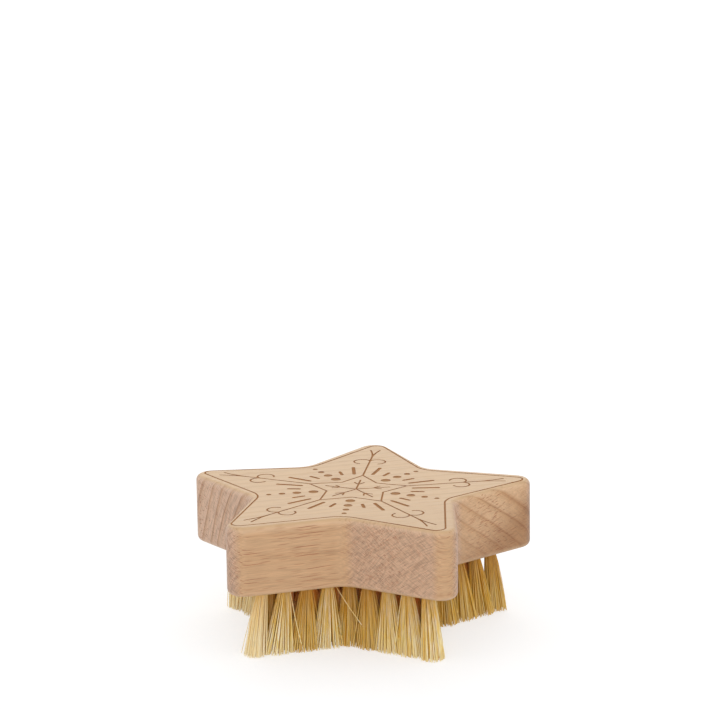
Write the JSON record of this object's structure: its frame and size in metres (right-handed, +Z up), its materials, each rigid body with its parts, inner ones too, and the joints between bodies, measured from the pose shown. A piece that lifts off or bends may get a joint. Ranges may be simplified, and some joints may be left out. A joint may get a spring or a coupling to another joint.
{
  "type": "dish brush",
  "caption": "Star-shaped wooden scrubbing block with rows of stiff plant-fibre tufts below, held in the palm to scrub dishes.",
  "frame": {"origin": "middle of the star, on the plane of the trimmed bristle tips that the brush stands on", "axes": "+Z up from the bristle tips to the wooden block, +Y along one arm of the star, +X across it"},
  "size_m": [0.0996, 0.0952, 0.04],
  "materials": {
    "beech": "sanded, unfinished",
    "plant_fibre": "stiff straw-coloured fibre, trimmed flat"
  },
  "bodies": {
    "root": {"beech_block": "beech", "tuft_arm_1_notch": "plant_fibre", "tuft_arm_1_left_3": "plant_fibre", "tuft_arm_1_left_2": "plant_fibre", "tuft_arm_1_left_1": "plant_fibre", "tuft_arm_1_tip": "plant_fibre", "tuft_arm_1_right_1": "plant_fibre", "tuft_arm_1_right_2": "plant_fibre", "tuft_arm_1_right_3": "plant_fibre", "tuft_arm_2_notch": "plant_fibre", "tuft_arm_2_left_3": "plant_fibre", "tuft_arm_2_left_2": "plant_fibre", "tuft_arm_2_left_1": "plant_fibre", "tuft_arm_2_tip": "plant_fibre", "tuft_arm_2_right_1": "plant_fibre", "tuft_arm_2_right_2": "plant_fibre", "tuft_arm_2_right_3": "plant_fibre", "tuft_arm_3_notch": "plant_fibre", "tuft_arm_3_left_3": "plant_fibre", "tuft_arm_3_left_2": "plant_fibre", "tuft_arm_3_left_1": "plant_fibre", "tuft_arm_3_tip": "plant_fibre", "tuft_arm_3_right_1": "plant_fibre", "tuft_arm_3_right_2": "plant_fibre", "tuft_arm_3_right_3": "plant_fibre", "tuft_arm_4_notch": "plant_fibre", "tuft_arm_4_left_3": "plant_fibre", "tuft_arm_4_left_2": "plant_fibre", "tuft_arm_4_left_1": "plant_fibre", "tuft_arm_4_tip": "plant_fibre", "tuft_arm_4_right_1": "plant_fibre", "tuft_arm_4_right_2": "plant_fibre", "tuft_arm_4_right_3": "plant_fibre", "tuft_arm_5_notch": "plant_fibre", "tuft_arm_5_left_3": "plant_fibre", "tuft_arm_5_left_2": "plant_fibre", "tuft_arm_5_left_1": "plant_fibre", "tuft_arm_5_tip": "plant_fibre", "tuft_arm_5_right_1": "plant_fibre", "tuft_arm_5_right_2": "plant_fibre", "tuft_arm_5_right_3": "plant_fibre", "tufts_row_2_arm_1": "plant_fibre", "tufts_row_2_arm_2": "plant_fibre", "tufts_row_2_arm_3": "plant_fibre", "tufts_row_2_arm_4": "plant_fibre", "tufts_row_2_arm_5": "plant_fibre", "tufts_row_3_arm_1": "plant_fibre", "tufts_row_3_arm_2": "plant_fibre", "tufts_row_3_arm_3": "plant_fibre", "tufts_row_3_arm_4": "plant_fibre", "tufts_row_3_arm_5": "plant_fibre", "tufts_row_4_arm_1": "plant_fibre", "tufts_row_4_arm_2": "plant_fibre", "tufts_row_4_arm_3": "plant_fibre", "tufts_row_4_arm_4": "plant_fibre", "tufts_row_4_arm_5": "plant_fibre", "tuft_middle": "plant_fibre"}
  },
  "joints": []
}
